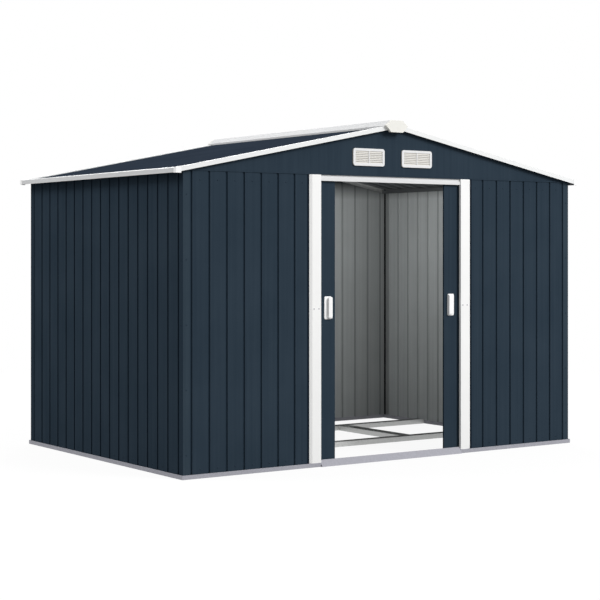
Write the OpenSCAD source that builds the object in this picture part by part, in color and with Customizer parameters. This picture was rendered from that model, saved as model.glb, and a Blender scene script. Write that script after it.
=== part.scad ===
// Metal storage shed with a gabled roof and two sliding doors.
// Millimetres. X runs along the front, +Y from front to rear, +Z up; the origin is on the
// ground under the middle of the shed.

/* [Shell] */
// Width over the outer faces of the side walls
shed_w = 2650; // [2200:10:3400]
// Depth over the outer faces of the front and rear walls
shed_d = 1774; // [1500:2:2600]
// Height of the walls, from the ground to the foot of the gables
wall_h = 1546; // [1400:2:1900]
// Thickness of the folded wall and roof sheet
sheet_t = 1.2; // [0.8:0.1:2]

/* [Planks] */
// Spacing of the pressed grooves that divide the sheets into planks
plank_pitch = 105; // [80:1:150]
// Width of a groove at the face of the sheet
groove_w = 14; // [10:0.5:18]
// Width of a groove at its floor
groove_floor = 8; // [4:0.5:9]
// Depth of a groove
groove_d = 7; // [4:0.5:9]
// Width of each leg of a corner post
corner_leg = 47; // [36:1:70]

/* [Base] */
// Height of the lips of the base rails
rail_h = 22; // [16:1:30]
// Width of the base rails inside the outer face of the wall
rail_in = 48; // [46:1:60]
// Distance that the base rails stand out from the wall
rail_out = 8; // [5:0.5:15]
// Thickness of the rails, beams and white trims
rail_t = 1.5; // [1:0.1:2.5]
// Height of the floor beams
beam_h = 29; // [20:1:50]
// Width of the long floor beams
beam_w = 60; // [40:1:100]
// Setback of the front floor beam from the front wall
front_beam_y = 610; // [450:5:700]
// Setback of the rear floor beam from the front wall
rear_beam_y = 1288; // [1000:2:1350]
// Distance of the floor cross beams from the middle
cross_beam_x = 618; // [300:2:900]
// Width of the floor cross beams
cross_beam_w = 80; // [50:1:120]

/* [Doorway] */
// Clear width between the door jambs
door_w = 968; // [800:2:1200]
// Width of a jamb
jamb_w = 72; // [60:1:90]
// Distance that the jambs stand out from the wall
jamb_out = 7; // [4:1:16]
// Width of the sloped outer edge of a jamb
jamb_flank = 15; // [8:1:24]
// Height of the header between the jambs
header_h = 32; // [26:1:45]
// Height of the raised lip along the foot of the header
header_lip = 18; // [12:1:22]
// Height of the door sill
sill_h = 35; // [30:1:50]
// Distance that the sill ramp runs out from the wall
sill_out = 19; // [14:1:40]

/* [Doors] */
// Width of a leaf that stays behind its jamb when the door is closed
leaf_overlap = 48; // [30:1:70]
// Thickness of a door leaf over its folded edges
leaf_t = 10; // [10:1:22]
// Width of a leaf that shows beside its jamb when the door is open
leaf_show = 106; // [85:1:140]
// Width of the plain stile along the leading edge of a leaf
stile_w = 104; // [80:1:130]
// Gap between the two leaves when both are closed
leaf_gap = 6; // [5:0.5:15]
// Height of the middle of a handle above the ground
handle_z = 839; // [700:1:1000]
// Height of a handle
handle_h = 116; // [90:1:150]
// Width of a handle
handle_w = 40; // [36:1:52]
// Width of the half-moon grip on a handle
grip_w = 25; // [20:1:32]
// Distance that the grip stands out from the leaf
grip_out = 21; // [14:0.5:24]

/* [Roof] */
// Rise of the roof for each unit of run
roof_slope = 0.2; // [0.14:0.01:0.3]
// Height of the side top rails above the walls
top_rise = 8; // [6:0.5:16]
// Distance from the side wall to the face of the eave trim
eave_out = 54; // [45:1:100]
// Distance from the front wall to the face of the rake trim
rake_out = 24; // [10:0.5:30]
// Height of the face of the rake trims
rake_h = 23; // [20:1:40]
// Height of the face of the eave trims
eave_h = 24; // [20:1:40]
// Distance of a purlin from the ridge
purlin_x = 662; // [400:1:900]
// Width of the ridge cap
ridge_w = 148; // [120:1:200]
// Width of the flat top of the ridge cap
ridge_flat = 73; // [40:1:90]
// Height of the sloped sides of the ridge cap
ridge_side = 30; // [20:1:40]
// Depth of the ridge end caps from front to rear
ridge_end_d = 18; // [12:1:60]

/* [Vents] */
// Width of a vent
vent_w = 211; // [180:1:260]
// Height of a vent
vent_h = 94; // [80:1:120]
// Distance of a vent's middle from the middle of the gable
vent_x = 166; // [140:1:220]
// Height of the vents' lower edge above the foot of the gable
vent_lift = 55; // [30:1:70]
// Thickness of a vent's frame
vent_t = 8; // [6:0.5:12]
// Width of the border of a vent
vent_border = 14; // [8:0.5:18]
// Number of slats in each half of a vent
vent_slats = 7; // [4:1:10]

/* [Hidden] */
$fn = 48;

// Finishes
NAVY = [0.18, 0.22, 0.27];
WHITE = [0.95, 0.95, 0.94];
ZINC = [0.66, 0.66, 0.69];
PLASTIC = [0.93, 0.93, 0.92];

// Walls
front_y = -shed_d / 2;
side_x = shed_w / 2;
wall_depth = groove_d + sheet_t;
wall_z = rail_t;
over = 1;

// Doorway and leaves
door_x = door_w / 2;
jamb_lap = 9;
jamb_back = wall_depth;
panel_end = side_x - door_x - jamb_w + jamb_lap;
sill_flat = 3;
leaf_clear = 7;
leaf_y = wall_depth + leaf_clear;
leaf_lap = 8;
leaf_top = wall_h - header_h + leaf_lap;
leaf_w = door_x - leaf_gap / 2 + leaf_overlap;
leaf_rest_x = door_x - leaf_show;
header_out = 1;
header_in = 5;
handle_edge = 31;
handle_plate = 3;
handle_wall = 2.5;
handle_round = 4;

// Door track and the sliders that hang the leaves from it
track_w = 30;
track_drop = 6;
track_slot = 12;
slider_gap = 0.3;
slider_side_gap = 1.5;
slider_l = 60;
slider_inset = 70;
slider_neck = 4;
guide_t = 8;
guide_drop = 14;
guide_clear = 8;
leaf_foot = rail_t + guide_clear + guide_drop;
track_h = header_h - leaf_lap - track_drop;

// Roof: the sheets lie on a sloped plane through the outer top edge of the side top rails
roof_angle = atan(roof_slope);
seat_z = wall_h + top_rise;
ridge_z = seat_z + side_x * roof_slope;
top_rail_w = 30;
top_rail_drop = 14;
rail_clear = 2;
inner_rail_x = side_x - top_rail_w - rail_clear;
trim_lift = 4;
trim_cover = 30;
roof_inset = 4;
ridge_gap = 4;
roof_edge = 60;
purlin_w = 40;
purlin_h = 30;
cap_t = 2;
cap_rake = 29;
cap_eave = 22;
slope_rail = 22;
end_cap_t = 2.5;
ridge_lip = 10;
ridge_end_drop = 35;
ridge_end_foot = 82;
gable_flange = 25;
drip_out = 3;
drip_h = 6;
eave_x = side_x + eave_out;
rake_y = shed_d / 2 + rake_out;
roof_front_y = front_y + sheet_t;
roof_rear_y = shed_d / 2 - wall_depth;
trim_top = wall_depth + trim_lift + rail_t;
gable_peak = roof_z(0, groove_d);
eave_low = roof_z(eave_x, trim_top) - eave_h;
vent_z = wall_h + vent_lift;

// Height above the ground of a plane that lies lift above the roof's seat, at x from the ridge
function roof_z(x, lift) = ridge_z + lift / cos(roof_angle) - abs(x) * roof_slope;

// A path moved inwards by the sheet's thickness, back to front
function back_of(path) = [for (i = [len(path) - 1 : -1 : 0]) path[i] + [0, sheet_t]];

// Face of a sheet that starts and ends on the floor of a groove, as [along, depth]
function wall_path(length) =
    let (count = max(1, round(length / plank_pitch)), pitch = length / count)
    concat(
        [[0, groove_d]],
        [for (i = [0 : count - 1]) each [
            [i * pitch + groove_floor / 2, groove_d],
            [i * pitch + groove_w / 2, 0],
            [(i + 1) * pitch - groove_w / 2, 0],
            [(i + 1) * pitch - groove_floor / 2, groove_d]
        ]],
        [[length, groove_d]]
    );

// Face of a sheet with a flat strip along each edge and grooves between, as [along, depth]
function strip_path(length, first, last) =
    let (
        span = length - first - last,
        count = max(1, round(span / plank_pitch)),
        pitch = span / count
    )
    concat(
        [[0, 0]],
        [for (i = [0 : count]) let (at = first + i * pitch) each [
            [at - groove_w / 2, 0],
            [at - groove_floor / 2, groove_d],
            [at + groove_floor / 2, groove_d],
            [at + groove_w / 2, 0]
        ]],
        [[length, 0]]
    );

module sheet(path) {
    polygon(concat(path, back_of(path)));
}

// A channel along X from 0 to length, open upwards, its outer lip at y = 0
module channel(length, width, height) {
    rotate([90, 0, 90])
        linear_extrude(length)
            difference() {
                square([width, height]);
                translate([rail_t, rail_t])
                    square([width - 2 * rail_t, height]);
            }
}

module both_sides() {
    children();
    mirror([1, 0, 0]) children();
}

module both_ends() {
    children();
    mirror([0, 1, 0]) children();
}

// Base rails and floor frame

// The inner lip of a long rail stops at the inner lips of the side rails
module long_rail() {
    half = side_x + rail_out - rail_t;
    difference() {
        translate([-half, front_y - rail_out, 0])
            channel(2 * half, rail_out + rail_in, rail_h);
        both_sides()
            translate([side_x - rail_in, front_y, rail_t])
                cube([rail_in + rail_out, rail_in + over, rail_h]);
    }
}

module base_rail_front() {
    color(ZINC)
        difference() {
            long_rail();
            translate([-door_x, front_y - rail_out - over, rail_t])
                cube([door_w, rail_out + jamb_back + over, rail_h]);
        }
}

module base_rail_rear() {
    color(ZINC) mirror([0, 1, 0]) long_rail();
}

module base_rail_right() {
    length = shed_d - 2 * rail_in;
    color(ZINC) {
        translate([side_x + rail_out, -length / 2, 0])
            rotate([0, 0, 90])
                channel(length, rail_out + rail_in, rail_h);
        translate([side_x + rail_out - rail_t, front_y - rail_out, 0])
            cube([rail_t, shed_d + 2 * rail_out, rail_h]);
    }
}

module base_rail_left() {
    mirror([1, 0, 0]) base_rail_right();
}

module floor_beam(setback) {
    half = side_x - rail_in;
    color(ZINC)
        translate([-half, front_y + setback, 0])
            channel(2 * half, beam_w, beam_h);
}

module floor_beam_front() {
    floor_beam(front_beam_y);
}

module floor_beam_rear() {
    floor_beam(rear_beam_y);
}

module floor_cross_beams() {
    start = front_beam_y + beam_w;
    color(ZINC)
        both_sides()
            translate([cross_beam_x + cross_beam_w / 2, front_y + start, 0])
                rotate([0, 0, 90])
                    channel(rear_beam_y - start, cross_beam_w, beam_h);
}

module door_sill() {
    crest = jamb_back - sill_flat;
    run = sill_out + crest;
    skin = rail_t / sin(atan2(sill_h, run));
    lean = rail_t * run / sill_h;
    color(ZINC)
        translate([-door_x, front_y, 0])
            rotate([90, 0, 90])
                linear_extrude(door_w)
                    polygon([
                        [-sill_out, 0], [crest, sill_h], [jamb_back, sill_h], [jamb_back, rail_t],
                        [jamb_back - rail_t, rail_t], [jamb_back - rail_t, sill_h - rail_t],
                        [crest + skin - lean, sill_h - rail_t], [skin + lean - sill_out, rail_t],
                        [-rail_out, rail_t], [-rail_out, 0]
                    ]);
}

// Walls and corner posts

// An angle whose two legs end on the floor of the groove beside them
module corner_post(height) {
    bend = corner_leg - groove_w / 2;
    floor_at = corner_leg - groove_floor / 2;
    translate([-side_x, front_y, wall_z])
        linear_extrude(height)
            polygon([
                [corner_leg, groove_d], [floor_at, groove_d], [bend, 0], [0, 0],
                [0, bend], [groove_d, floor_at], [groove_d, corner_leg],
                [wall_depth, corner_leg], [wall_depth, floor_at], [sheet_t, bend],
                [sheet_t, sheet_t],
                [bend, sheet_t], [floor_at, wall_depth], [corner_leg, wall_depth]
            ]);
}

module corner_post_front_left() {
    color(NAVY) corner_post(wall_h - wall_z);
}

module corner_post_front_right() {
    mirror([1, 0, 0]) corner_post_front_left();
}

// The leg on the rear wall runs on up to the roof
module corner_post_rear_left() {
    color(NAVY)
        mirror([0, 1, 0]) {
            corner_post(wall_h - wall_z);
            under_roof()
                intersection() {
                    corner_post(gable_peak - wall_z);
                    translate([-side_x, front_y, wall_h - over])
                        cube([corner_leg, wall_depth, gable_peak]);
                }
        }
}

module corner_post_rear_right() {
    mirror([1, 0, 0]) corner_post_rear_left();
}

// Outline of the shed above the walls, up to the underside of the roof's planks
module gable_outline(foot) {
    shoulder = roof_z(side_x, groove_d);
    polygon([
        [-side_x, foot], [side_x, foot], [side_x, shoulder],
        [0, gable_peak], [-side_x, shoulder]
    ]);
}

// Trims what stands under the roof to the slope of the roof
module under_roof() {
    intersection() {
        children();
        translate([0, shed_d / 2 + over, 0])
            rotate([90, 0, 0])
                linear_extrude(shed_d + 2 * over) gable_outline(0);
    }
}

// A grooved wall sheet along X from 0 to length, its face at y = 0
module wall_sheet(length, height) {
    color(NAVY)
        linear_extrude(height) sheet(wall_path(length));
}

module front_wall_left() {
    translate([-side_x + corner_leg, front_y, wall_z])
        wall_sheet(panel_end - corner_leg, wall_h - wall_z);
}

module front_wall_right() {
    mirror([1, 0, 0]) front_wall_left();
}

module left_wall() {
    translate([-side_x, -front_y - corner_leg, wall_z])
        rotate([0, 0, -90])
            wall_sheet(shed_d - 2 * corner_leg, wall_h - wall_z);
}

module right_wall() {
    mirror([1, 0, 0]) left_wall();
}

// The planks of the rear wall run up to the roof
module rear_wall() {
    under_roof()
        mirror([0, 1, 0])
            translate([-side_x + corner_leg, front_y, wall_z])
                wall_sheet(shed_w - 2 * corner_leg, gable_peak - wall_z);
}

// Rails along the tops of the walls

module right_top_rail() {
    color(ZINC)
        translate([side_x - top_rail_w, roof_rear_y, wall_h])
            rotate([90, 0, 0])
                linear_extrude(roof_rear_y - roof_front_y)
                    polygon([
                        [0, -top_rail_drop], [0, top_rise], [top_rail_w, top_rise],
                        [top_rail_w, 0], [top_rail_w - sheet_t, 0],
                        [top_rail_w - sheet_t, top_rise - rail_t],
                        [rail_t, top_rise - rail_t], [rail_t, -top_rail_drop]
                    ]);
}

module left_top_rail() {
    mirror([1, 0, 0]) right_top_rail();
}

// Angles under the roof along the sloped top of the rear wall
module rear_slope_rails() {
    start = down_to(purlin_w / 2 + rail_clear, -slope_rail);
    end = down_to(inner_rail_x, 0);
    color(ZINC)
        both_sides()
            on_slope()
                translate([start, roof_rear_y - slope_rail, -slope_rail])
                    rotate([90, 0, 90])
                        linear_extrude(end - start)
                            difference() {
                                square(slope_rail);
                                translate([-rail_t, -rail_t]) square(slope_rail);
                            }
}

module door_track() {
    color(ZINC)
        translate([-inner_rail_x, front_y + wall_depth, wall_h - track_h])
            rotate([90, 0, 90])
                linear_extrude(2 * inner_rail_x)
                    difference() {
                        square([track_w, track_h]);
                        translate([rail_t, rail_t])
                            square([track_w - 2 * rail_t, track_h - 2 * rail_t]);
                        translate([(track_w - track_slot) / 2, -over])
                            square([track_slot, track_h / 2]);
                    }
}

// Front gable and its vents

// A flat sheet with a flange and a drip fold along its foot
module front_gable() {
    hole_w = vent_w - 2 * vent_border;
    hole_h = vent_h - 2 * vent_border;
    color(NAVY) {
        difference() {
            translate([0, front_y + sheet_t, 0])
                rotate([90, 0, 0])
                    linear_extrude(sheet_t) gable_outline(wall_h);
            both_sides()
                translate([vent_x - hole_w / 2, front_y - over, vent_z + vent_border])
                    cube([hole_w, sheet_t + 2 * over, hole_h]);
        }
        translate([-inner_rail_x, front_y, wall_h])
            cube([2 * inner_rail_x, gable_flange, sheet_t]);
        translate([-side_x, front_y - drip_out, wall_h])
            cube([shed_w, drip_out + sheet_t, drip_h]);
    }
}

module rounded_rect(w, h, r) {
    translate([-w / 2 + r, -h / 2]) square([w - 2 * r, h]);
    translate([-w / 2, -h / 2 + r]) square([w, h - 2 * r]);
    for (x = [-1, 1], y = [-1, 1])
        translate([x * (w / 2 - r), y * (h / 2 - r)]) circle(r);
}

module vent() {
    mullion = 6;
    light_w = (vent_w - 2 * vent_border - mullion) / 2;
    light_h = vent_h - 2 * vent_border;
    slat_pitch = light_h / vent_slats;
    slat_t = 1.6;
    slat_tilt = 58;
    slat_d = (vent_t - slat_t) / cos(slat_tilt);
    rotate([90, 0, 0])
        difference() {
            linear_extrude(vent_t) rounded_rect(vent_w, vent_h, vent_border);
            for (side = [-1, 1])
                translate([side * (light_w + mullion) / 2 - light_w / 2, -light_h / 2, -over])
                    cube([light_w, light_h, vent_t + 2 * over]);
        }
    for (side = [-1, 1], i = [0 : vent_slats - 1])
        translate([
            side * (light_w + mullion) / 2 - light_w / 2,
            -vent_t / 2,
            -light_h / 2 + (i + 0.5) * slat_pitch
        ])
            rotate([slat_tilt, 0, 0])
                translate([0, -slat_d / 2, -slat_t / 2])
                    cube([light_w, slat_d, slat_t]);
}

module gable_vents() {
    color(PLASTIC)
        both_sides()
            translate([vent_x, front_y, vent_z + vent_h / 2]) vent();
}

// Doorway

module jamb_left() {
    color(WHITE)
        translate([-door_x - jamb_w, front_y, rail_h])
            linear_extrude(wall_h - rail_h)
                polygon([
                    [0, 0], [jamb_flank, -jamb_out], [jamb_w, -jamb_out],
                    [jamb_w, jamb_back], [jamb_w - rail_t, jamb_back],
                    [jamb_w - rail_t, rail_t - jamb_out],
                    [jamb_flank + rail_t / 2, rail_t - jamb_out], [2 * rail_t, 0]
                ]);
}

module jamb_right() {
    mirror([1, 0, 0]) jamb_left();
}

// The face is set back above the lip, in the shade of the gable's drip fold
module door_header() {
    step = header_lip - header_h;
    color(WHITE)
        translate([-door_x, front_y, wall_h])
            rotate([90, 0, 90])
                linear_extrude(door_w)
                    polygon([
                        [-header_out, -header_h], [-header_out, step], [header_in, step],
                        [header_in, 0], [jamb_back, 0], [jamb_back, -rail_t],
                        [header_in + rail_t, -rail_t], [header_in + rail_t, step - rail_t],
                        [rail_t - header_out, step - rail_t],
                        [rail_t - header_out, rail_t - header_h],
                        [jamb_back, rail_t - header_h], [jamb_back, -header_h]
                    ]);
}

// Roof

// Places a part in the frame of the right slope: X down the slope from the ridge, Z off the roof
module on_slope() {
    translate([0, 0, ridge_z])
        rotate([0, roof_angle, 0]) children();
}

// Distance down the slope to a point at x from the ridge, lift above the seat
function down_to(x, lift) = (x - lift * sin(roof_angle)) / cos(roof_angle);

module right_roof() {
    width = 2 * (rake_y - roof_inset);
    length = down_to(eave_x - roof_inset, wall_depth) - ridge_gap;
    color(NAVY)
        on_slope()
            translate([ridge_gap, -width / 2, wall_depth])
                rotate([90, 0, 90])
                    linear_extrude(length)
                        mirror([0, 1]) sheet(strip_path(width, roof_edge, roof_edge));
}

module left_roof() {
    mirror([1, 0, 0]) right_roof();
}

// A channel from the front gable back to rear, open downwards, its top at z = 0
module roof_channel(rear) {
    translate([-purlin_w / 2, rear, 0])
        mirror([0, 0, 1])
            rotate([0, 0, -90]) channel(rear - roof_front_y, purlin_w, purlin_h);
}

module ridge_beam() {
    color(ZINC)
        translate([0, 0, roof_z(purlin_w / 2, 0)]) roof_channel(roof_rear_y);
}

module purlins() {
    color(ZINC)
        both_sides()
            on_slope()
                translate([down_to(purlin_x, 0), 0, 0]) roof_channel(roof_rear_y - slope_rail);
}

module ridge_cap() {
    half = ridge_w / 2;
    flat = ridge_flat / 2;
    foot = roof_z(half - rail_t, wall_depth);
    bend = foot + ridge_lip;
    top = bend + ridge_side;
    length = 2 * (rake_y - rail_t);
    color(WHITE)
        translate([0, length / 2, 0])
            rotate([90, 0, 0])
                linear_extrude(length)
                    polygon([
                        [-half, foot], [-half, bend], [-flat, top], [flat, top],
                        [half, bend], [half, foot], [half - rail_t, foot],
                        [half - rail_t, bend - rail_t / 2], [flat - rail_t / 2, top - rail_t],
                        [rail_t / 2 - flat, top - rail_t], [rail_t - half, bend - rail_t / 2],
                        [rail_t - half, foot]
                    ]);
}

module end_cap_outline(inset) {
    half = ridge_w / 2 - inset;
    flat = ridge_flat / 2 - inset / 2;
    foot = ridge_end_foot / 2 - inset / 2;
    bend = roof_z(ridge_w / 2 - rail_t, wall_depth) + ridge_lip;
    polygon([
        [-foot, bend - ridge_end_drop + inset], [-half, bend],
        [-flat, bend + ridge_side - inset], [flat, bend + ridge_side - inset],
        [half, bend], [foot, bend - ridge_end_drop + inset]
    ]);
}

module ridge_end_caps() {
    color(PLASTIC)
        both_ends()
            translate([0, -rake_y, 0])
                rotate([90, 0, 0])
                    difference() {
                        linear_extrude(ridge_end_d) end_cap_outline(0);
                        translate([0, 0, -over])
                            linear_extrude(ridge_end_d - end_cap_t + over)
                                end_cap_outline(end_cap_t);
                    }
}

// The face of a rake trim runs from ridge to eave; its cover stops at the ridge cap and eave trim
module rake_trim() {
    face_start = down_to(rail_t, trim_top - rake_h);
    face_end = down_to(eave_x, trim_top);
    cover_start = down_to(ridge_w / 2 + rail_clear, wall_depth);
    cover_end = down_to(eave_x - trim_cover - rail_clear, trim_top);
    on_slope() {
        translate([face_start, -rake_y, trim_top - rake_h])
            cube([face_end - face_start, rail_t, rake_h]);
        translate([cover_start, -rake_y, wall_depth])
            rotate([90, 0, 90])
                linear_extrude(cover_end - cover_start)
                    polygon([
                        [0, trim_lift], [0, trim_lift + rail_t], [trim_cover, trim_lift + rail_t],
                        [trim_cover, 0], [trim_cover - rail_t, 0],
                        [trim_cover - rail_t, trim_lift]
                    ]);
    }
}

module front_rake_trims() {
    color(WHITE) both_sides() rake_trim();
}

module rear_rake_trims() {
    mirror([0, 1, 0]) front_rake_trims();
}

module right_eave_trim() {
    length = 2 * (rake_y - rail_t);
    inner = eave_x - trim_cover;
    under = trim_top - rail_t;
    color(WHITE)
        translate([0, length / 2, 0])
            rotate([90, 0, 0])
                linear_extrude(length)
                    polygon([
                        [eave_x, eave_low], [eave_x, roof_z(eave_x, trim_top)],
                        [inner, roof_z(inner, trim_top)], [inner, roof_z(inner, wall_depth)],
                        [inner + rail_t, roof_z(inner, wall_depth)],
                        [inner + rail_t, roof_z(inner + rail_t, under)],
                        [eave_x - rail_t, roof_z(eave_x - rail_t, under)],
                        [eave_x - rail_t, eave_low]
                    ]);
}

module left_eave_trim() {
    mirror([1, 0, 0]) right_eave_trim();
}

// A block from y = -front to y = cap_eave inside the rake trim, with its top along the slope
module cap_block(inner, outer, front, foot, lift) {
    translate([0, cap_eave - rake_y, 0])
        rotate([90, 0, 0])
            linear_extrude(cap_eave + front)
                polygon([
                    [inner, foot], [outer, foot],
                    [outer, roof_z(outer, lift)], [inner, roof_z(inner, lift)]
                ]);
}

// Cap over the corner of the eave and rake trims, open below and towards the trims
module roof_corner_cap() {
    inner = eave_x - cap_rake;
    foot = eave_low - cap_t;
    color(PLASTIC)
        difference() {
            cap_block(inner, eave_x + cap_t, cap_t, foot, trim_top + cap_t);
            translate([0, over, 0])
                cap_block(inner - over, eave_x, over, foot - over, trim_top);
        }
}

module roof_corner_caps() {
    both_ends() both_sides() roof_corner_cap();
}

// Doors, drawn open: the left leaf lies behind the left front wall

module leaf() {
    leaf_h = leaf_top - leaf_foot;
    color(NAVY)
        translate([-leaf_rest_x - leaf_w, front_y + leaf_y, leaf_foot]) {
            linear_extrude(leaf_h) {
                sheet(strip_path(leaf_w, plank_pitch / 2, stile_w));
                square([sheet_t, leaf_t]);
                translate([leaf_w - sheet_t, 0]) square([sheet_t, leaf_t]);
            }
            for (z = [0, leaf_h - sheet_t])
                translate([0, 0, z]) cube([leaf_w, leaf_t, sheet_t]);
        }
}

// Plate with a half-moon grip that is open towards the jamb
module handle() {
    color(PLASTIC)
        translate([-leaf_rest_x - handle_edge - handle_w / 2, front_y + leaf_y, handle_z])
            rotate([90, 0, 0]) {
                linear_extrude(handle_plate) rounded_rect(handle_w, handle_h, handle_round);
                translate([handle_w / 2, 0, handle_plate])
                    difference() {
                        linear_extrude(grip_out - handle_plate) half_moon(0);
                        translate([-handle_wall, 0, -over])
                            linear_extrude(grip_out - handle_plate - handle_wall + over)
                                half_moon(handle_wall);
                    }
            }
}

// Segment of a circle, as tall as the handle, that bulges to -X from the line x = 0
module half_moon(inset) {
    bow = (handle_h * handle_h / 4 + grip_w * grip_w) / (2 * grip_w);
    intersection() {
        translate([bow - grip_w, 0]) circle(bow);
        translate([-grip_w - over, inset - handle_h / 2])
            square([grip_w + over, handle_h - 2 * inset]);
    }
}

// Two sliders in the track hold a leaf up, and two shoes guide its foot in the base rail
module sliders() {
    block_w = track_w - 2 * rail_t - 2 * slider_side_gap;
    block_z = wall_h - track_h + rail_t + slider_gap;
    block_h = track_h - 3 * rail_t;
    track_mid = front_y + wall_depth + track_w / 2;
    leaf_mid = front_y + leaf_y + leaf_t / 2;
    color(PLASTIC)
        for (x = [slider_inset, leaf_w - slider_inset])
            translate([-leaf_rest_x - leaf_w + x, 0, 0]) {
                translate([-slider_l / 2, track_mid - block_w / 2, block_z])
                    cube([slider_l, block_w, block_h]);
                translate([-slider_l / 2, track_mid - slider_neck / 2, leaf_top])
                    cube([slider_l, slider_neck, block_z - leaf_top]);
                translate([-slider_l / 2, leaf_mid - guide_t / 2, leaf_foot - guide_drop])
                    cube([slider_l, guide_t, guide_drop]);
            }
}

module door_left() {
    leaf();
}

module door_left_handle() {
    handle();
}

module door_left_sliders() {
    sliders();
}

module door_right() {
    mirror([1, 0, 0]) leaf();
}

module door_right_handle() {
    mirror([1, 0, 0]) handle();
}

module door_right_sliders() {
    mirror([1, 0, 0]) sliders();
}

base_rail_front();
base_rail_rear();
base_rail_left();
base_rail_right();
floor_beam_front();
floor_beam_rear();
floor_cross_beams();
door_sill();
corner_post_front_left();
corner_post_front_right();
corner_post_rear_left();
corner_post_rear_right();
front_wall_left();
front_wall_right();
left_wall();
right_wall();
rear_wall();
left_top_rail();
right_top_rail();
rear_slope_rails();
door_track();
front_gable();
gable_vents();
jamb_left();
jamb_right();
door_header();
ridge_beam();
purlins();
left_roof();
right_roof();
ridge_cap();
ridge_end_caps();
front_rake_trims();
rear_rake_trims();
left_eave_trim();
right_eave_trim();
roof_corner_caps();
door_left();
door_left_handle();
door_left_sliders();
door_right();
door_right_handle();
door_right_sliders();
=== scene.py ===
# %% [markdown]
# A steel garden shed is thin sheet folded into planks, clipped between galvanised rails and
# trimmed in white. The solids already hold its true sizes, so this lesson dresses them: it
# sets the camera, the light and the finishes, and then makes the small moulded and turned
# pieces as surfaces that numpy works out on a grid.

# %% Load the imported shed
import math

import bpy
import numpy as np
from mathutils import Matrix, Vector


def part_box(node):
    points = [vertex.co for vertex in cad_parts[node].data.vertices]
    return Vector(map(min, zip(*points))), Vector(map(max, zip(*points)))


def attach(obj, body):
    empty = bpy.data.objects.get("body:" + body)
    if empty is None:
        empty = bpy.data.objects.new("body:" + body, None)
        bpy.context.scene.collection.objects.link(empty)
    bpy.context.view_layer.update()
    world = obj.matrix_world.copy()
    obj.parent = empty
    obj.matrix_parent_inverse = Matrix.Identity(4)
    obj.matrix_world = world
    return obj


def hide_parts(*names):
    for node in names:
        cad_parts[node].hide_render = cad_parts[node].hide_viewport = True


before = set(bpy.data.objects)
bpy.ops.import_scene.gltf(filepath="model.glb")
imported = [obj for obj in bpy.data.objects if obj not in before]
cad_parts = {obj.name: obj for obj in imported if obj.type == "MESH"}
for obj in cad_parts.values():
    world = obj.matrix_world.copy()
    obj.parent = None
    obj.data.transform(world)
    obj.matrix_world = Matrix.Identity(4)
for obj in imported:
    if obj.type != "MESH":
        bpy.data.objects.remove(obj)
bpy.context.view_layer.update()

# %% [markdown]
# The shed was seen from about eye height with a long lens, and its upright edges stay
# parallel. A camera tilted down would make them lean, so the camera looks level and its lens
# is shifted down, as an architect's camera does. Its place is measured from the near corner.

# %% Camera
view_turn = math.radians(34.70)
corner_ahead = 7.806
corner_left = 0.5834
eye_height = 1.150
near_corner = np.array(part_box("corner_post_front_left")[0][:2])
forward = np.array([math.sin(view_turn), math.cos(view_turn)])
rightward = np.array([math.cos(view_turn), -math.sin(view_turn)])
stand = near_corner - corner_ahead * forward + corner_left * rightward

camera_data = bpy.data.cameras.new("level_camera")
camera_data.sensor_width = 36
camera_data.lens = 93.9
camera_data.shift_y = -0.0843
camera = bpy.data.objects.new("level_camera", camera_data)
camera.location = (*stand, eye_height)
camera.rotation_euler = (math.radians(90), 0, -view_turn)
bpy.context.scene.collection.objects.link(camera)
bpy.context.scene.camera = camera
print("camera at", [round(v, 3) for v in camera.location])

# %% [markdown]
# Every finish below is a node tree. One helper adds a node, sets its properties and fills its
# sockets, with a plain value or with a link from another node. Colours are written as the hex
# codes that a paint program shows, and are turned into the linear light that shaders need.

# %% Helpers for finishes
MM = 0.001


def linear(code):
    """sRGB hex code to linear RGBA: the standard curve, undone channel by channel."""
    share = np.array([int(code[i:i + 2], 16) for i in (1, 3, 5)]) / 255
    curve = np.where(share <= 0.04045, share / 12.92, ((share + 0.055) / 1.055) ** 2.4)
    return (*curve.tolist(), 1.0)


def add(tree, kind, inputs=None, **settings):
    """Adds a node with its settings; an input is a plain value or the socket to link from."""
    node = tree.nodes.new("ShaderNode" + kind)
    for name, value in settings.items():
        setattr(node, name, value)
    for socket, value in (inputs or {}).items():
        if isinstance(value, bpy.types.NodeSocket):
            tree.links.new(value, node.inputs[socket])
        else:
            node.inputs[socket].default_value = value
    return node


def per_mm(size):
    """Scale of a texture whose features are that many millimetres across."""
    return 1 / (size * MM)


def finish(name):
    """A new material, its node tree, its shader and the Object coordinates."""
    made = bpy.data.materials.new(name)
    made.use_nodes = True
    tree = made.node_tree
    return made, tree, tree.nodes["Principled BSDF"], add(tree, "TexCoord").outputs["Object"]


print("half of white as a screen shows it is", round(linear("#808080")[0], 3), "of its light")

# %% [markdown]
# The studio is a white floor under a white sky. Rays from the camera, and mirror-like ones,
# see it as plain white. Rays that carry light to the shed find a greyer floor and a softer
# sky, so the white ground can't light the shed from below. Near the shed a share of the floor
# stays matt even to the camera, which keeps the soft shadow; far off it fades into the sky.

# %% Floor
floor_half = 60.0
floor_matt_share = 0.08
floor_matt_reach = (3.0, 6.0)

floor_mesh = bpy.data.meshes.new("studio_floor")
floor_mesh.from_pydata(
    [(x * floor_half, y * floor_half, 0) for x, y in ((-1, -1), (1, -1), (1, 1), (-1, 1))],
    [], [(0, 1, 2, 3)])
floor = bpy.data.objects.new("studio_floor", floor_mesh)
bpy.context.scene.collection.objects.link(floor)


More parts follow.
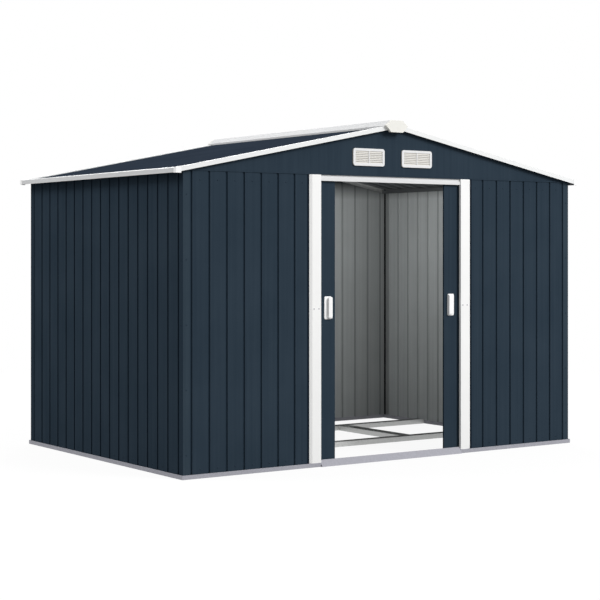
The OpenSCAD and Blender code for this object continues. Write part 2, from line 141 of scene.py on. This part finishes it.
def seen_directly(tree):
    """1 for rays that show the background: camera, glossy and transmission rays."""
    path = add(tree, "LightPath").outputs
    either = add(tree, "Math", {0: path["Is Camera Ray"], 1: path["Is Glossy Ray"]},
                 operation="MAXIMUM")
    return add(tree, "Math", {0: either.outputs[0], 1: path["Is Transmission Ray"]},
               operation="MAXIMUM").outputs[0]


# Painted studio floor: matt and pale, with no pattern of its own
floor_paint = bpy.data.materials.new("matt_floor_paint")
floor_paint.use_nodes = True
tree = floor_paint.node_tree
tree.nodes.clear()
direct = seen_directly(tree)
floor_tone = add(tree, "Mix", {0: direct, 6: linear("#8a8a8a"), 7: linear("#ffffff")},
                 data_type="RGBA")
matt = add(tree, "BsdfDiffuse", {"Color": floor_tone.outputs[2]})
glow = add(tree, "Emission", {"Color": (1, 1, 1, 1), "Strength": 1})
distance = add(tree, "VectorMath", {0: add(tree, "TexCoord").outputs["Object"]},
               operation="LENGTH")
whiteness = add(tree, "MapRange", {"Value": distance.outputs["Value"],
                                   "From Min": floor_matt_reach[0],
                                   "From Max": floor_matt_reach[1],
                                   "To Min": 1 - floor_matt_share, "To Max": 1})
white_share = add(tree, "Math", {0: direct, 1: whiteness.outputs[0]}, operation="MULTIPLY")
blend = add(tree, "MixShader", {0: white_share.outputs[0], 1: matt.outputs[0],
                                2: glow.outputs[0]})
add(tree, "OutputMaterial", {"Surface": blend.outputs[0]})
floor_mesh.materials.append(floor_paint)
print("floor:", 2 * floor_half, "metres wide, plain white from", floor_matt_reach[1], "metres")

# %% [markdown]
# The sky is a plain white world, which lights the shed evenly from all sides and leaves no
# shadow of its own. A picture of a real sky could do that too, but it would tint the white
# trims. The same test of the rays keeps it white to the eye while its light stays moderate.

# %% Sky
sky_light = 0.70
sky = bpy.data.worlds.new("white_sky")
bpy.context.scene.world = sky
sky.use_nodes = True
tree = sky.node_tree
tree.nodes.clear()
level = add(tree, "MapRange", {"Value": seen_directly(tree), "To Min": sky_light, "To Max": 1})
backdrop = add(tree, "Background", {"Color": (1, 1, 1, 1), "Strength": level.outputs[0]})
add(tree, "OutputWorld", {"Surface": backdrop.outputs[0]})
bpy.context.scene.view_settings.view_transform = "Standard"
print("sky:", sky_light, "of white as light, white to the eye")

# %% [markdown]
# The front of the shed is brighter than its side, edges that turn left are greyer, and the
# trims throw short dark shadows. So the main lamp hangs high on the right, a weaker one on the
# left lifts the side wall, another one the far sides, and the sky does the rest. They are wide:
# a small lamp would draw hard shadows that soft studio light doesn't have. The upper half of
# the room is the lighter one, so a weak lamp hangs inside it, which the camera doesn't see.

# %% Lamps
def lamp(name, place, target, size, watts):
    """A square area lamp at place that faces target."""
    data = bpy.data.lights.new(name, "AREA")
    data.size = size
    data.energy = watts
    made = bpy.data.objects.new(name, data)
    made.location = place
    aim = np.array(target) - np.array(place)
    made.rotation_euler = (math.atan2(math.hypot(aim[0], aim[1]), -aim[2]), 0,
                           math.atan2(-aim[0], aim[1]))
    bpy.context.scene.collection.objects.link(made)
    return made


shed_middle, rear_corner = (0, 0, 1), (1.1, 0.88, 1.3)
lamp("front_lamp", (7.0, -13.2, 9.6), shed_middle, size=6.8, watts=2000)
lamp("side_lamp", (-7.4, 3.6, 8.2), shed_middle, size=4.0, watts=410)
lamp("back_lamp", (5.0, 10.0, 6.0), shed_middle, size=4.0, watts=460)
room_lamp = lamp("room_lamp", (0.28, -0.36, 1.46), rear_corner, size=0.22, watts=5.8)
room_lamp.visible_camera = False

# %% [markdown]
# The wall and roof sheet is coil-coated: the paint is rolled on while the steel is flat, dark
# blue-grey on one side and a pale grey primer on the back. One solid shows both sides, so the
# shader has to ask which way each face looks. It could ask for each wall by itself, but the
# shed is the same on both sides of its middle, so positions and normals are folded over the
# middle, and each point asks the nearest outer plane. The depth below that plane also finds
# the grooves.

# %% Which way a face looks
def folded(tree, place):
    """The position and the normal with the shed folded over its middle: after that, whatever
    looks outwards has a positive normal."""
    side = add(tree, "VectorMath", {0: place}, operation="SIGN").outputs[0]
    turned_to = add(tree, "NewGeometry").outputs["Normal"]
    normal = add(tree, "VectorMath", {0: turned_to, 1: side}, operation="MULTIPLY")
    spot = add(tree, "VectorMath", {0: place}, operation="ABSOLUTE")
    return spot.outputs[0], normal.outputs[0]


def under_planes(tree, spot, normal, planes):
    """For the nearest of the outer planes, each (direction, distance from the middle): the
    depth below it and how far the face looks along it; and the depth below the farthest."""
    depth = facing = farthest = None
    for direction, distance in planes:
        along = add(tree, "VectorMath", {0: spot, 1: direction}, operation="DOT_PRODUCT")
        looks = add(tree, "VectorMath", {0: normal, 1: direction}, operation="DOT_PRODUCT")
        below = add(tree, "Math", {0: distance, 1: along.outputs["Value"]}, operation="SUBTRACT")
        here, looks = below.outputs[0], looks.outputs["Value"]
        if depth is None:
            depth = farthest = here
            facing = looks
            continue
        nearer = add(tree, "Math", {0: here, 1: depth}, operation="LESS_THAN").outputs[0]
        facing = add(tree, "Mix", {0: nearer, 2: facing, 3: looks}).outputs[0]
        farthest = add(tree, "Math", {0: here, 1: depth}, operation="MAXIMUM").outputs[0]
        depth = add(tree, "Math", {0: here, 1: depth}, operation="MINIMUM").outputs[0]
    return depth, facing, farthest


half_w = -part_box("left_wall")[0].x
half_d = -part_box("front_wall_left")[0].y
roof_low, roof_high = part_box("right_roof")
roof_angle = math.atan2(roof_high.z - roof_low.z, roof_high.x - roof_low.x)
off_roof = (math.sin(roof_angle), 0, math.cos(roof_angle))
roof_lift = roof_high.z * math.cos(roof_angle) + roof_low.x * math.sin(roof_angle)

wall_planes = [((1, 0, 0), half_w), ((0, 1, 0), half_d)]
side_planes = wall_planes[:1]
door_planes = [((0, 1, 0), -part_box("door_left")[0].y)]
roof_planes = [(off_roof, roof_lift)]
print("walls at", round(half_w, 3), "and", round(half_d, 3), "metres from the middle")
print("roof at", round(math.degrees(roof_angle), 2), "degrees")

# %% [markdown]
# Inside the shed, the primer is painted darker under the roof and towards the corners, as
# painted shade where little light reaches. A picture could hold such shading, but each face
# would need a map of where it lies in the picture. The place of a point is enough here: its
# height says how near the roof is, and its depth below the farther of two walls says how near
# their corner is.

# %% Painted shade on the primer
# Reach of the painted shade on the primer under the roof and from a corner, and its depth there
wall_top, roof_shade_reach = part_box("left_wall")[1].z, 60 * MM
corner_gap, corner_reach, corner_shade_share = 9 * MM, 420 * MM, 0.4


def blended(tree, share, first, second):
    """A colour between first and second, each a hex code or a socket."""
    ends = [linear(c) if isinstance(c, str) else c for c in (first, second)]
    return add(tree, "Mix", {0: share, 6: ends[0], 7: ends[1]}, data_type="RGBA").outputs[2]


def with_painted_shade(tree, place, primer, painted_shade, farthest=None):
    """The primer with painted shade under the roof and, where the depth below the farther of two
    walls is given, towards their corner, with a nearly black painted shadow in the gap there."""
    # Painted shade towards a corner, and a nearly black painted shadow in the gap at the corner
    if farthest is not None:
        cornered = add(tree, "MapRange", {"Value": farthest, "From Min": corner_reach,
                                          "From Max": 0, "To Max": corner_shade_share}).outputs[0]
        gap_shadow = add(tree, "Math", {0: farthest, 1: corner_gap}, operation="LESS_THAN").outputs[0]
        primer = blended(tree, cornered, primer, painted_shade)
        primer = blended(tree, gap_shadow, primer, "#121416")
    # Painted shade under the roof, deepening with the height
    height = add(tree, "SeparateXYZ", {0: place}).outputs["Z"]
    high_up = add(tree, "MapRange", {"Value": height, "From Min": wall_top - roof_shade_reach,
                                     "From Max": wall_top + roof_shade_reach}).outputs[0]
    return blended(tree, high_up, primer, painted_shade)


print("soot from", round(wall_top - roof_shade_reach, 3), "metres up and", corner_reach, "from a corner")

# %% [markdown]
# Faces that look outwards get the paint and the others the primer, and neither is one flat
# colour. Rollers leave faint streaks along the way that the coil was drawn, and the grooves are
# painted darker, as painted shade. Thin sheet is never quite flat either, so a slow ripple
# bends the light a little, under the fine skin of the paint.

# %% Coil-coated sheet
streak_span = (0.7, 1.3)
# Depths below the planks over which the grooves are painted darker, as painted shade
groove_depth = (0.4 * MM, 4 * MM)
# Width and soft edge of the painted shadow line beside the jambs
jamb_shadow_w, jamb_shadow_fade = 12 * MM, 4 * MM
back_below, sideways_above = -0.1, 0.7


def coated_sheet(name, planes, drawn, paint_tones, primer_tones, groove_shade="#2b3844",
                 painted_shade="#24282a", jamb_shadow=None, side_shade=None):
    """Dark paint on faces that look outwards and primer on the backs, streaked along the way the
    coil was drawn, both darker where the sheet is pressed in: painted shade. A jamb shadow is a
    painted shadow line that far from the middle; a side shade paints the sideways faces darker."""
    made, tree, shader, place = finish(name)
    spot, normal = folded(tree, place)
    depth, facing, farthest = under_planes(tree, spot, normal, planes)
    sunk = add(tree, "MapRange", {"Value": depth, "From Min": groove_depth[0],
                                  "From Max": groove_depth[1]}).outputs[0]
    cloud = add(tree, "TexNoise", {"Vector": place, "Scale": per_mm(260), "Detail": 3}).outputs[0]
    coil = add(tree, "Mapping", {"Vector": place, "Scale": drawn}).outputs[0]
    roller = add(tree, "TexNoise", {"Vector": coil, "Scale": per_mm(14), "Detail": 2}).outputs[0]
    both = add(tree, "Math", {0: cloud, 1: roller}, operation="ADD").outputs[0]
    shade = add(tree, "MapRange", {"Value": both, "From Min": streak_span[0],
                                   "From Max": streak_span[1]}).outputs[0]
    # Painted shade: the paint is darker in the grooves
    paint = blended(tree, sunk, blended(tree, shade, *paint_tones), groove_shade)
    # Painted shadow: a dark line on the front walls just beside the jambs
    if jamb_shadow:
        aside = add(tree, "SeparateXYZ", {0: spot}).outputs["X"]
        in_jamb_shadow = add(tree, "MapRange", {"Value": aside, "From Min": jamb_shadow + jamb_shadow_w + jamb_shadow_fade,
                                         "From Max": jamb_shadow + jamb_shadow_w}).outputs[0]
        paint = blended(tree, in_jamb_shadow, paint, "#17202a")
    # Painted shade: faces that look sideways, such as the side legs of the posts, get a darker
    # paint
    if side_shade:
        turn = add(tree, "SeparateXYZ", {0: normal}).outputs["X"]
        sideways = add(tree, "Math", {0: turn, 1: sideways_above},
                       operation="GREATER_THAN").outputs[0]
        paint = blended(tree, sideways, paint, side_shade)
    # Painted shade: the primer is darker on the ribs that the grooves press into the room
    primer = blended(tree, sunk, blended(tree, shade, *primer_tones), "#a8acac")
    # Painted shade on the primer under the roof and towards the corners
    if painted_shade:
        primer = with_painted_shade(tree, place, primer, painted_shade, farthest if len(planes) > 1 else None)
    is_back = add(tree, "Math", {0: facing, 1: back_below}, operation="LESS_THAN").outputs[0]
    peel = add(tree, "TexNoise", {"Vector": place, "Scale": per_mm(5), "Detail": 1})
    gloss = add(tree, "MapRange", {"Value": peel.outputs[0], "To Min": 0.70, "To Max": 0.82})
    ripple = add(tree, "TexNoise", {"Vector": place, "Scale": per_mm(180), "Detail": 1})
    flex = add(tree, "Bump", {"Height": ripple.outputs[0], "Distance": 0.6 * MM,
                              "Strength": 0.5})
    skin = add(tree, "Bump", {"Height": peel.outputs[0], "Distance": 0.05 * MM, "Strength": 0.4,
                              "Normal": flex.outputs[0]})
    tree.links.new(blended(tree, is_back, paint, primer), shader.inputs["Base Color"])
    tree.links.new(gloss.outputs[0], shader.inputs["Roughness"])
    tree.links.new(skin.outputs[0], shader.inputs["Normal"])
    # Weathered coil paint is chalky: the sheets show no sheen
    shader.inputs["Specular IOR Level"].default_value = 0.0
    return made


print("grooves: from", groove_depth[0], "to", groove_depth[1], "metres below the planks")

# %% [markdown]
# All the sheets share that recipe, with small differences, most of them painted light and
# shade. The front walls have a painted shadow line where they slip behind the jambs, the posts
# are painted lighter in front and darker on their sides, the side walls' grooves get darker
# painted shade, and the roof is streaked downhill, with paint a touch darker and a darker painted
# back.

# %% Sheets of the walls, posts, doors and roof
# The posts' paint is lighter than the walls': painted light on their fronts
wall_paint, lit_post_paint = ("#2b3742", "#313d48"), ("#313d47", "#37434d")
# The roof paint is a touch darker than the walls': painted shade against the stronger light from
# above
shaded_roof_paint = ("#28303b", "#2e3641")
# The roof's back gets a darker primer: painted shade under the roof
pale_primer, shaded_roof_primer = ("#d0d4d4", "#dfe3e3"), ("#64686a", "#707274")
stretch = 0.012
upright, downhill = (1, 1, stretch), (stretch, 1, stretch)
jamb_edge = -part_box("jamb_left")[0].x
wall_sheet = coated_sheet("coil_coated_steel_walls", wall_planes, upright, wall_paint,
                          pale_primer)
# The front walls carry the painted shadow line beside the jambs
front_sheet = coated_sheet("coil_coated_steel_front_walls", wall_planes, upright, wall_paint,
                           pale_primer, jamb_shadow=jamb_edge)
# The posts carry painted light on their fronts and painted shade on their sideways legs
post_sheet = coated_sheet("coil_coated_steel_posts", wall_planes, upright, lit_post_paint,
                          pale_primer, side_shade="#2a3641")
# The side walls get a darker painted shade in their grooves
side_sheet = coated_sheet("coil_coated_steel_side_walls", side_planes, upright, wall_paint,
                          pale_primer, groove_shade="#1a2531")
door_sheet = coated_sheet("coil_coated_steel_doors", door_planes, upright, wall_paint,
                          pale_primer)
roof_sheet = coated_sheet("coil_coated_steel_roof", roof_planes, downhill, shaded_roof_paint,
                          shaded_roof_primer, painted_shade=None)
sheet_of = {"rear_wall": wall_sheet, "front_gable": wall_sheet,
            "front_wall_left": front_sheet, "front_wall_right": front_sheet,
            "left_wall": side_sheet, "right_wall": side_sheet,
            "door_left": door_sheet, "door_right": door_sheet,
            "left_roof": roof_sheet, "right_roof": roof_sheet}
sheet_of.update({node: post_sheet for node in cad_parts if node.startswith("corner_post")})
print("sheets:", sorted(sheet_of))

# %% [markdown]
# The jambs, header, ridge cap and roof trims are steel folded from white coated strip. The
# coating is smoother than the wall paint, and what the eye sees is mostly its even white with
# a soft sheen along the folds.

# %% White coated steel
def stove_coated(name, dark, light):
    """Smooth stove coating with a faint cloudiness between two tones and a satin sheen."""
    made, tree, shader, place = finish(name)
    cloud = add(tree, "TexNoise", {"Vector": place, "Scale": per_mm(120), "Detail": 2})
    peel = add(tree, "TexNoise", {"Vector": place, "Scale": per_mm(4), "Detail": 1})
    gloss = add(tree, "MapRange", {"Value": peel.outputs[0], "To Min": 0.5, "To Max": 0.6})
    skin = add(tree, "Bump", {"Height": peel.outputs[0], "Distance": 0.04 * MM, "Strength": 0.3})
    tree.links.new(blended(tree, cloud.outputs[0], dark, light), shader.inputs["Base Color"])
    tree.links.new(gloss.outputs[0], shader.inputs["Roughness"])
    tree.links.new(skin.outputs[0], shader.inputs["Normal"])
    return made


white_steel = stove_coated("white_stove_coated_steel", "#eeeeed", "#f4f4f3")
# Greyer copies of this white are painted shade: light on the rakes, deeper on eaves, ridge cap,
# header
trim_steel = stove_coated("light_shade_white_stove_coated_steel", "#e4e5e5", "#e9eaea")
grey_shaded_steel = stove_coated("deep_shade_white_stove_coated_steel", "#cacbcc", "#d1d2d3")
header_steel = stove_coated("shaded_white_stove_coated_steel", "#d8d8d9", "#dedfdf")
white_nodes = ("jamb_left", "jamb_right")
trim_nodes = ("front_rake_trims", "rear_rake_trims")
grey_shaded_nodes = ("ridge_cap", "left_eave_trim", "right_eave_trim")
print("white steel:", white_nodes + trim_nodes + grey_shaded_nodes + ("door_header",))

# %% [markdown]
# Rails, beams and the sill are hot-dip galvanised: zinc freezes into flat crystals, called
# spangle, a centimetre or so across, each with its own slight tilt. Cells of a Voronoi texture
# give every crystal one brightness and one roughness.

# %% Galvanised steel
def galvanised(name, dark, light, metallic, roughness):
    """Zinc with spangle: one tone between dark and light, and one roughness, a crystal."""
    made, tree, shader, place = finish(name)
    crystal = add(tree, "TexVoronoi", {"Vector": place, "Scale": per_mm(11), "Randomness": 1})
    tone = blended(tree, crystal.outputs["Color"], dark, light)
    gloss = add(tree, "MapRange", {"Value": crystal.outputs["Color"], "To Min": roughness[0],
                                   "To Max": roughness[1]})
    tree.links.new(tone, shader.inputs["Base Color"])
    tree.links.new(gloss.outputs[0], shader.inputs["Roughness"])
    shader.inputs["Metallic"].default_value = metallic
    return made


bright_zinc = galvanised("hot_dip_galvanised_steel", "#c6c7c6", "#d4d5d4", metallic=1,
                         roughness=(0.45, 0.62))
dull_zinc = galvanised("weathered_galvanised_steel", "#9a9aa2", "#a8a8b0", metallic=0.25,
                       roughness=(0.7, 0.85))
# A darker copy of the zinc for the rails and beams up under the roof: painted shade
shaded_zinc = galvanised("shade_painted_galvanised_steel", "#55585a", "#606365", metallic=0.25,
                         roughness=(0.75, 0.88))
under_roof_nodes = ("left_top_rail", "right_top_rail", "purlins", "ridge_beam")
dull_nodes = ("base_rail_front", "base_rail_rear", "base_rail_left", "base_rail_right",
              "door_sill")
print("dull zinc:", dull_nodes, "shade-painted zinc:", under_roof_nodes)

# %% [markdown]
# Vents, caps, handles and sliders are injection-moulded in white plastic. The mould was spark
# eroded, which leaves a fine grain that scatters the light, so it looks softer than the trims.
# The slats of the vents are painted darker, as painted shade in their recess, and the same depth
# test that found the grooves finds what lies behind the face of their frames.

# %% Moulded plastic
# Depths behind the face of the vent frames over which the slats are painted darker, as painted
# shade
recess_shade_depth = (0.2 * MM, 1.5 * MM)


def moulded(name, dark, light, face=None, recess_shade="#dad7d0"):
    """Polypropylene with a fine spark-eroded grain, drawn at twice its real size; where face
    gives the distance of a front face from the middle, what lies behind it is painted darker, as
    painted shade."""
    made, tree, shader, place = finish(name)
    grain = add(tree, "TexNoise", {"Vector": place, "Scale": per_mm(1.6), "Detail": 2})
    cloud = add(tree, "TexNoise", {"Vector": place, "Scale": per_mm(60), "Detail": 2})
    colour = blended(tree, cloud.outputs[0], dark, light)
    if face:
        depth = under_planes(tree, *folded(tree, place), [((0, 1, 0), face)])[0]
        behind = add(tree, "MapRange", {"Value": depth, "From Min": recess_shade_depth[0],
                                        "From Max": recess_shade_depth[1]}).outputs[0]
        colour = blended(tree, behind, colour, recess_shade)
    gloss = add(tree, "MapRange", {"Value": grain.outputs[0], "To Min": 0.5, "To Max": 0.65})
    skin = add(tree, "Bump", {"Height": grain.outputs[0], "Distance": 0.08 * MM,
                              "Strength": 0.4})
    tree.links.new(colour, shader.inputs["Base Color"])
    tree.links.new(gloss.outputs[0], shader.inputs["Roughness"])
    tree.links.new(skin.outputs[0], shader.inputs["Normal"])
    return made


white_plastic = moulded("moulded_white_polypropylene", "#f6f6f6", "#fafafa")
cap_plastic = moulded("moulded_weathered_polypropylene", "#e2e1db", "#e8e7e1")
# The vent slats behind the frame face are painted darker: painted shade in the recess
vent_plastic = moulded("moulded_louvre_polypropylene", "#dededf", "#e4e4e5",
                       face=-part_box("gable_vents")[0].y)
plastic_nodes = ("door_left_handle", "door_left_sliders", "door_right_handle",
                 "door_right_sliders", "roof_corner_caps")
print("plastic:", plastic_nodes + ("ridge_end_caps", "gable_vents"))

# %% [markdown]
# Each solid came in with one empty finish. A table from node to finish says what it wears, and
# starts from the commonest one, the zinc of the rails. A loop over that table is safer than a
# line for each node, because no node can be forgotten.

# %% Dress the solids
dress = {node: bright_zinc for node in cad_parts}
dress.update({node: dull_zinc for node in dull_nodes})
dress.update({node: shaded_zinc for node in under_roof_nodes})
dress.update(sheet_of)
dress.update({node: white_steel for node in white_nodes})
dress.update({node: trim_steel for node in trim_nodes})
dress.update({node: grey_shaded_steel for node in grey_shaded_nodes})
dress.update({node: white_plastic for node in plastic_nodes})
dress["door_header"] = header_steel
dress["ridge_end_caps"] = cap_plastic
dress["gable_vents"] = vent_plastic
for node, coat in dress.items():
    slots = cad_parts[node].data.materials
    slots.clear()
    slots.append(coat)
print("dressed", len(dress), "solids in", len(set(dress.values())), "finishes")

# %% [markdown]
# The new pieces are all stacks of rings: circles for a screw, sections for a door pull. Blender
# needs their points and the faces between them. The faces of a stack follow from the number of
# rings and of points in a ring alone, so one function counts them out for every piece.

# %% Pieces made of rings
def new_piece(name, points, faces, coat, body):
    """A mesh object at the origin that wears coat and rides on body."""
    mesh = bpy.data.meshes.new(name)
    mesh.from_pydata(points.reshape(-1, 3).tolist(), [], faces)
    mesh.materials.append(coat)
    made = bpy.data.objects.new(name, mesh)
    bpy.context.scene.collection.objects.link(made)
    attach(made, body)
    return made


def ring_faces(count, rings, steps):
    """Faces of count stacks of rings: quads between neighbours, and a flat cap on each end."""
    stack = np.arange(count)[:, None, None] * rings * steps
    ring = np.arange(rings - 1)[None, :, None] * steps
    step = np.arange(steps)[None, None, :]
    after = (step + 1) % steps
    quads = np.stack([stack + ring + step, stack + ring + after,
                      stack + ring + steps + after, stack + ring + steps + step], axis=-1)
    caps = np.arange(count)[:, None] * rings * steps + np.arange(steps)[None, :]
    return (quads.reshape(-1, 4).tolist() + caps[:, ::-1].tolist()
            + (caps + (rings - 1) * steps).tolist())


print("a stack of 3 rings of 10 points has", len(ring_faces(1, 3, 10)), "faces")

# %% [markdown]
# Self-tapping screws hold the sheets and the jambs. Each is a body of revolution: a washer or
# a rim, and a domed head. A modifier could spin one outline and copy it, but it is as easy to
# work out every screw at once: numpy adds the ring around each head to the place of each
# screw, and the whole row becomes one mesh.

# %% Screws as surfaces of revolution
nearly_upright = 0.9


def screw_heads(name, outline, centres, axes, coat, body, steps=10):
    """Bodies of revolution: centre + radius * (cos a * across + sin a * beside) + height * axis,
    for every angle a and every (radius, height) of the outline, at all centres at once."""
    centres, axes = np.array(centres, float), np.array(axes, float)
    radius, height = (np.array(outline) * MM).T
    angle = np.arange(steps) * 2 * np.pi / steps
    upright_axis = np.abs(axes[:, 2:]) > nearly_upright
    helper = np.where(upright_axis, [[1.0, 0, 0]], [[0, 0, 1.0]])
    across = np.cross(helper, axes)
    across /= np.linalg.norm(across, axis=1, keepdims=True)
    beside = np.cross(axes, across)
    around = (np.cos(angle)[None, :, None] * across[:, None, :]
              + np.sin(angle)[None, :, None] * beside[:, None, :])
    points = (centres[:, None, None, :] + radius[None, :, None, None] * around[:, None, :, :]
              + height[None, :, None, None] * axes[:, None, None, :])
    faces = ring_faces(len(centres), len(radius), steps)
    return new_piece(name, points, faces, coat, body)


# Radius and height of each ring, in millimetres
pan_head = [(3.6, 0), (3.4, 1.1), (1.8, 1.9)]
jamb_low, jamb_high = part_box("jamb_left")
edge_to_screw = np.array([14, 46]) * MM
screw_height = 836 * MM
screw_x = np.concatenate([jamb_high.x - edge_to_screw, edge_to_screw - jamb_high.x])
screw_spots = np.stack([screw_x, 0 * screw_x + jamb_low.y, 0 * screw_x + screw_height], axis=1)
screw_heads("jamb_screws", pan_head, screw_spots, [(0, -1, 0)] * len(screw_spots), dull_zinc,
            "shed")
print("jamb screws at", screw_spots.round(3).tolist())

# %% [markdown]
# The sheets themselves are held by painted screws in rows: up both legs of every corner post
# and along the head and foot of each wall. Their places could be typed in one by one, but they
# follow from the boxes of the solids, so they move with the shed if its sizes change.

# %% Places of the painted screws
def plank_middles(start, end, pitch=105 * MM):
    """Middles of the whole planks that fill the length from start to end."""
    edges = np.linspace(start, end, max(1, round((end - start) / pitch)) + 1)
    return (edges[1:] + edges[:-1]) / 2


def grid_of(*rows):
    """Every combination of the rows' values, as points."""
    return np.stack(np.meshgrid(*[np.atleast_1d(r) for r in rows], indexing="ij"),
                    axis=-1).reshape(-1, 3)


from_edge, from_post_end, post_mid = 45 * MM, 120 * MM, 20 * MM
wall_rows = [from_edge, wall_top - from_edge]
post_rows = np.linspace(from_post_end, wall_top - from_post_end, 5)
side_low, side_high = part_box("right_wall")
spots, looks = [], []
for side in (-1, 1):
    spots.append(grid_of(side * half_w, plank_middles(side_low.y, side_high.y), wall_rows))
    spots.append(grid_of(side * half_w, [post_mid - half_d, half_d - post_mid], post_rows))
    looks += [(side, 0, 0)] * (len(spots[-1]) + len(spots[-2]))
for node, end in (("front_wall_left", -1), ("front_wall_right", -1), ("rear_wall", 1)):
    low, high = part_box(node)
    spots.append(grid_of(plank_middles(low.x, high.x), end * half_d, wall_rows))
    looks += [(0, end, 0)] * len(spots[-1])
for end in (-1, 1):
    spots.append(grid_of([post_mid - half_w, half_w - post_mid], end * half_d, post_rows))
    looks += [(0, end, 0)] * len(spots[-1])
print("screws in the walls and posts:", len(looks))

# %% [markdown]
# On the roof the rows run beside the ridge cap, over the purlins and over the side rails, with
# a screw on every second plank. Each head sits on a broad washer that keeps the rain out. One
# outline serves them all, because the heads differ only in where they sit and which way they
# look, and a mirrored copy of the right slope gives the left one.

# %% Painted screws of the walls and the roof
washer_head = [(4.5, 0), (4.5, 0.4), (3.6, 0.8), (3.0, 1.5), (1.8, 1.9)]
roof_edge = 60 * MM
rows_from_ridge = np.array([130, 660, 1300]) * MM
roof_y = plank_middles(roof_low.y + roof_edge, roof_high.y - roof_edge)[::2]
across_roof = grid_of(rows_from_ridge, roof_y, 0)
across_roof[:, 2] = (roof_lift - across_roof[:, 0] * off_roof[0]) / off_roof[2]
for hand, side in (("left", -1), ("right", 1)):
    roof_screws = screw_heads(f"roof_screws_{hand}", washer_head, across_roof * [side, 1, 1],
                              [(side * off_roof[0], 0, off_roof[2])] * len(across_roof),
                              roof_sheet, "shed", steps=8)
    print(roof_screws.name, len(across_roof), "faces:", len(roof_screws.data.polygons))
wall_screws = screw_heads("wall_screws", washer_head, np.concatenate(spots), looks, wall_sheet,
                          "shed", steps=8)
print(wall_screws.name, len(looks), "faces:", len(wall_screws.data.polygons))

# %% [markdown]
# Each door is pulled by a moulded plate with a raised hood that fingers hook behind. The hood
# is a hook-shaped section carried up the door: its width follows a D with round ends, and the
# finger hollow closes towards both ends. The plate is a stack of rounded rectangles.

# %% Plate and hood of a door pull
def plate_rings(width, height, thick, steps=48):
    """Stack of rounded rectangles: a superellipse of power ten, drawn in towards the front."""
    angle = np.arange(steps) * 2 * np.pi / steps
    power = 2 / 10
    across = np.sign(np.cos(angle)) * np.abs(np.cos(angle)) ** power
    along = np.sign(np.sin(angle)) * np.abs(np.sin(angle)) ** power
    inset = np.array([0, 0, 0.3, 1.0])[:, None] * MM
    front = np.array([0, 0.6, 0.9, 1.0])[:, None] * thick
    return np.stack([(width / 2 - inset) * across, -front + 0 * across,
                     (height / 2 - inset) * along], axis=-1)


def hood_rings(width, height, out, steps=61):
    """Hook-shaped section at each height t: up the side at x = 0, over a rounded front to
    x = -w(t), down a lip and back into a hollow that is e(t) as deep as it can be."""
    bend, lip, wall, turn = 2.5 * MM, 0.8 * MM, 3.0 * MM, 10 * MM
    solid_end, hollow_fade, hollow_floor, end_droop = 8 * MM, 12 * MM, 0.4 * MM, 0.25
    t = np.linspace(-height / 2, height / 2, steps)
    past = np.clip(np.abs(t) - (height / 2 - turn), 0, turn)
    w = (width - turn + np.sqrt(turn ** 2 - past ** 2))[:, None]
    e = np.clip((height / 2 - solid_end - np.abs(t)) / hollow_fade, 0, 1)[:, None]
    top = (out * (1 - end_droop * (past / turn) ** 3))[:, None]
    arc = np.linspace(0, np.pi / 2, 5)[None, :]
    x = np.concatenate([0 * w, -bend * (1 - np.cos(arc)) + 0 * w,
                        -w + bend * (1 - np.sin(arc)), -w, -w + e * (w - wall),
                        -w + e * (w - wall), -w], axis=1)
    y = np.concatenate([0 * w, top - bend * (1 - np.sin(arc)), top - bend * (1 - np.cos(arc)),
                        top - bend - lip, top - bend - 2 * lip, hollow_floor + 0 * w, 0 * w],
                       axis=1)
    z = t[:, None] + 0 * x
    return np.stack([x, -y, z], axis=-1)[:, ::-1]


# %% [markdown]
# The two pulls mirror each other: what is worked out for the left door is flipped for the
# right one, and its faces are turned round so that they still look outwards. Smooth shading
# suits moulded plastic, as long as the folds sharper than a set angle stay crisp.

# %% Door pulls
pull_plate, hood_w, hood_out, spread = 3 * MM, 26 * MM, 14 * MM, 6 * MM
hood_short, hood_inset, hood_bed = 8 * MM, 1 * MM, 0.2 * MM
crisp_fold = math.radians(40)
for hand, side in (("left", 1), ("right", -1)):
    node, body = f"door_{hand}_handle", f"{hand}_door"
    low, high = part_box(node)
    width, height = high.x - low.x + spread, high.z - low.z + spread
    middle = np.array([(low.x + high.x + side * spread) / 2, high.y, (low.z + high.z) / 2])
    plate = plate_rings(width, height, pull_plate)
    hood = hood_rings(hood_w, height - hood_short, hood_out)
    hood = hood + [width / 2 - hood_inset, -pull_plate + hood_bed, 0]
    faces = ring_faces(1, *plate.shape[:2])
    faces += [[corner + plate.shape[0] * plate.shape[1] for corner in face]
              for face in ring_faces(1, *hood.shape[:2])]
    points = np.concatenate([plate.reshape(-1, 3), hood.reshape(-1, 3)]) * [side, 1, 1] + middle
    faces = [face[::side] for face in faces]
    pull = new_piece(f"door_{hand}_pull", points, faces, white_plastic, body)
    pull.data.shade_smooth()
    pull.data.set_sharp_from_angle(angle=crisp_fold)
    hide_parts(node)
    print(pull.name, "rides on", body, "with", len(faces), "faces")
